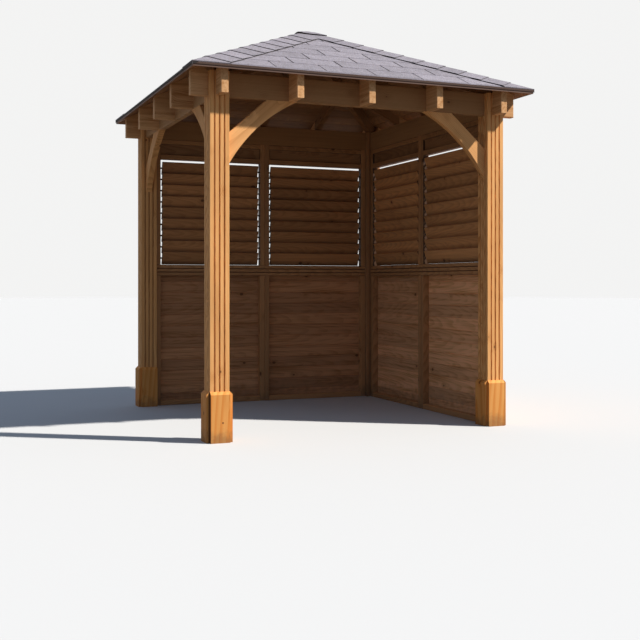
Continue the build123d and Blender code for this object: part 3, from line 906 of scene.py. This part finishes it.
# The end of the lowest cap, creased and turned down over the corner of the eaves
def make_corner_flap():
    bpy.ops.object.select_all(action="DESELECT")
    bpy.ops.mesh.primitive_grid_add(x_subdivisions=2, y_subdivisions=1, size=1, location=(0, 0, 0))
    flap = bpy.context.object
    bpy.ops.object.mode_set(mode="EDIT")
    bpy.ops.transform.resize(value=(2 * FLAP_WING, FLAP_DROP, 1))
    bpy.ops.transform.rotate(value=-math.radians(90), orient_axis="X", center_override=(0, 0, 0))
    select_where(flap, lambda point: point.x < -ON_LINE)
    bpy.ops.transform.rotate(value=-math.radians(90), orient_axis="Z", center_override=(0, 0, 0))
    select_where(flap, lambda point: point.z < 0 and max(abs(point.x), abs(point.y)) > ON_LINE)
    bpy.ops.transform.translate(value=(0, 0, FLAP_DROP * FLAP_CREASE))
    bpy.ops.object.mode_set(mode="OBJECT")
    apply_modifier(flap, "SOLIDIFY", thickness=FLAP_FELT, offset=0)
    corner = FLAP_INSET - EAVE_OUT
    flap.data.transform(Matrix.Translation((corner, corner, CORNER_HEIGHT - FLAP_DROP / 2 + FLAP_RISE)))
    give_felt_finish(flap)
    return flap


folded_cap = make_folded_cap()
up_hip = Vector((1, 1, SLOPE)).normalized()
across_hip = Vector((-1, 1, 0)).normalized()
crest = up_hip.cross(across_hip)
hip_place = Matrix.Translation((-EAVE_OUT, -EAVE_OUT, CORNER_HEIGHT)) @ Matrix(
    [(up_hip[axis], across_hip[axis], crest[axis], 0) for axis in range(3)] + [(0, 0, 0, 1)]
)
hip_length = EAVE_OUT * math.sqrt(2 + SLOPE * SLOPE)
longer = Matrix.Scale((LOWEST_CAP + CAP_LAP) / (CAP_EXPOSURE + CAP_LAP), 4, (1, 0, 0))
run = [toned(copied(folded_cap, "lowest_cap", hip_place @ longer), tone=0.5)]
whole_caps = math.floor((hip_length - LOWEST_CAP) / CAP_EXPOSURE)
for step in range(whole_caps):
    tilt = Matrix.Rotation(math.asin(CAP_LIFT / CAP_EXPOSURE), 4, "Y")
    skew = Matrix.Rotation(laid.uniform(-CAP_SKEW, CAP_SKEW), 4, "Z")
    lapped = Matrix.Translation((LOWEST_CAP + step * CAP_EXPOSURE, 0, CAP_LIFT))
    is_topmost = step == whole_caps - 1
    reach = Matrix.Scale(TOPMOST_STRETCH if is_topmost else 1.0, 4, (1, 0, 0))
    place = hip_place @ lapped @ skew @ tilt @ reach
    run.append(toned(copied(folded_cap, f"cap_{step}", place), laid.random()))
bpy.data.objects.remove(folded_cap)
run.append(make_corner_flap())
first_run = joined(run, "hip_cap_run_front_left")
cut_off(
    first_run,
    ((-EAVE_OUT + EAVE_TRIM, 0, 0), (-1, 0, 0)),
    ((0, -EAVE_OUT + EAVE_TRIM, 0), (0, -1, 0)),
    ((-HIP_JOINT, 0, 0), (1, 0, 0)),
    ((0, -HIP_JOINT, 0), (0, 1, 0)),
    ((0, 0, RUN_TOP), (0, 0, 1)),
)
runs = [first_run]
for corner, angle in (("back_left", -90), ("back_right", 180), ("front_right", 90)):
    runs.append(turned_copy(first_run, "hip_cap_run_" + corner, angle))
for piece in runs:
    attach(piece, "root")
    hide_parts("hip_caps")

# The cap at the very top: one square of felt pressed down over the four runs, its
# edge lifted a little by the laps under it, and its front left corner curling up
TOP_FELT = 0.0044
TOP_STANDS = 0.001
SOFT_PEAK = 0.06
CORNER_CURL = ((0.075, 0.001), (0.05, 0.0016), (0.03, 0.0022))


def make_top_cap():
    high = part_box("apex_cap")[1]
    half = high.x
    rise = SLOPE * half
    bpy.ops.object.select_all(action="DESELECT")
    bpy.ops.mesh.primitive_cone_add(
        vertices=4, radius1=half * math.sqrt(2), depth=rise, end_fill_type="NOTHING",
        rotation=(0, 0, math.pi / 4), location=(0, 0, 0),
    )
    cap = bpy.context.object
    bpy.ops.object.transform_apply(location=True, rotation=True, scale=True)
    bpy.ops.object.mode_set(mode="EDIT")
    bpy.ops.mesh.select_all(action="SELECT")
    bpy.ops.transform.translate(value=(0, 0, high.z - rise / 2 - TOP_FELT + TOP_STANDS))
    bpy.ops.mesh.subdivide(number_cuts=7)
    bpy.ops.mesh.select_all(action="SELECT")
    bpy.ops.mesh.vertices_smooth(factor=0.3, repeat=1)
    select_where(cap, lambda point: math.hypot(point.x, point.y) < SOFT_PEAK)
    bpy.ops.mesh.vertices_smooth(factor=0.5, repeat=5)
    for reach, lift in CORNER_CURL:
        select_where(cap, lambda point: math.hypot(point.x + half, point.y + half) < reach)
        bpy.ops.transform.translate(value=(0, 0, lift))
    bpy.ops.object.mode_set(mode="OBJECT")
    apply_modifier(cap, "SOLIDIFY", thickness=TOP_FELT, offset=1)
    apply_modifier(cap, "BEVEL", width=SOFT_EDGE, segments=1, limit_method="ANGLE")
    cap.name = cap.data.name = "top_cap"
    give_felt_finish(cap)
    return cap


top_cap = make_top_cap()
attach(top_cap, "root")
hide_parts("apex_cap")

# The place it stands in: a plain pale floor and sky, with the sun high over the
# right front corner, and the camera at waist height off the front left corner
FLOOR_RADIUS = 60
FLOOR_BELOW = 0.0005
FLOOR_SHOWN = (0.57, 0.57, 0.565, 1)
FLOOR_LIGHTING = (0.135, 0.125, 0.115, 1)
SKY_SHOWN = (0.90, 0.90, 0.895, 1)
SKY_LIGHTING = (0.62, 0.80, 1.12, 1)
SKY_STRENGTH = 0.32
SUN_STRENGTH = 6.4
SUN_COLOUR = (1.0, 0.965, 0.91)
SUN_WIDTH = 1.6
SUN_SHINES_ALONG = (-1.5, 1.0, -1.72)
CAMERA_PLACE = (-2.625, -6.698, 0.938)
CAMERA_TURN = -22.16
CAMERA_LENS = 56.68
CAMERA_SHIFT = -0.0578


# What the camera sees, straight or in a gloss
def seen_rays(tree):
    rays = shader_node(tree, "LightPath").outputs
    mirrored = number(tree, "MAXIMUM", rays["Is Glossy Ray"], rays["Is Transmission Ray"])
    return number(tree, "MAXIMUM", rays["Is Camera Ray"], mirrored)


def make_floor():
    bpy.ops.object.select_all(action="DESELECT")
    bpy.ops.mesh.primitive_circle_add(
        vertices=96, radius=FLOOR_RADIUS, fill_type="NGON", location=(0, 0, -FLOOR_BELOW)
    )
    floor = bpy.context.object
    bpy.ops.object.transform_apply(location=True, rotation=True, scale=True)
    floor.name = floor.data.name = "floor"
    material, tree, shader = new_material("pale_floor")
    shader["Roughness"].default_value = 0.9
    shader["Specular IOR Level"].default_value = 0.1
    tree.links.new(mixed(tree, seen_rays(tree), FLOOR_LIGHTING, FLOOR_SHOWN), shader["Base Color"])
    floor.data.materials.append(material)
    return floor


def make_sky():
    world = bpy.data.worlds.new("plain_sky")
    world.use_nodes = True
    tree = world.node_tree
    tree.nodes.clear()
    lighting = shader_node(tree, "Background", {"Color": SKY_LIGHTING, "Strength": SKY_STRENGTH}).outputs[0]
    shown = shader_node(tree, "Background", {"Color": SKY_SHOWN, "Strength": 1.0}).outputs[0]
    both = shader_node(tree, "MixShader", {0: seen_rays(tree), 1: lighting, 2: shown}).outputs[0]
    shader_node(tree, "OutputWorld", {0: both})
    bpy.context.scene.world = world


make_floor()
make_sky()

sun = bpy.data.objects.new("sun", bpy.data.lights.new("sun", "SUN"))
sun.data.energy = SUN_STRENGTH
sun.data.color = SUN_COLOUR
sun.data.angle = math.radians(SUN_WIDTH)
sun.rotation_euler = Vector(SUN_SHINES_ALONG).to_track_quat("-Z", "Y").to_euler()
bpy.context.scene.collection.objects.link(sun)

camera = bpy.data.objects.new("camera", bpy.data.cameras.new("camera"))
camera.location = CAMERA_PLACE
camera.rotation_euler = (math.radians(90), 0, math.radians(CAMERA_TURN))
camera.data.sensor_width = 36
camera.data.lens = CAMERA_LENS
camera.data.shift_y = CAMERA_SHIFT
bpy.context.scene.collection.objects.link(camera)
bpy.context.scene.camera = camera
bpy.context.scene.view_settings.view_transform = "Standard"

bpy.ops.object.select_all(action="DESELECT")
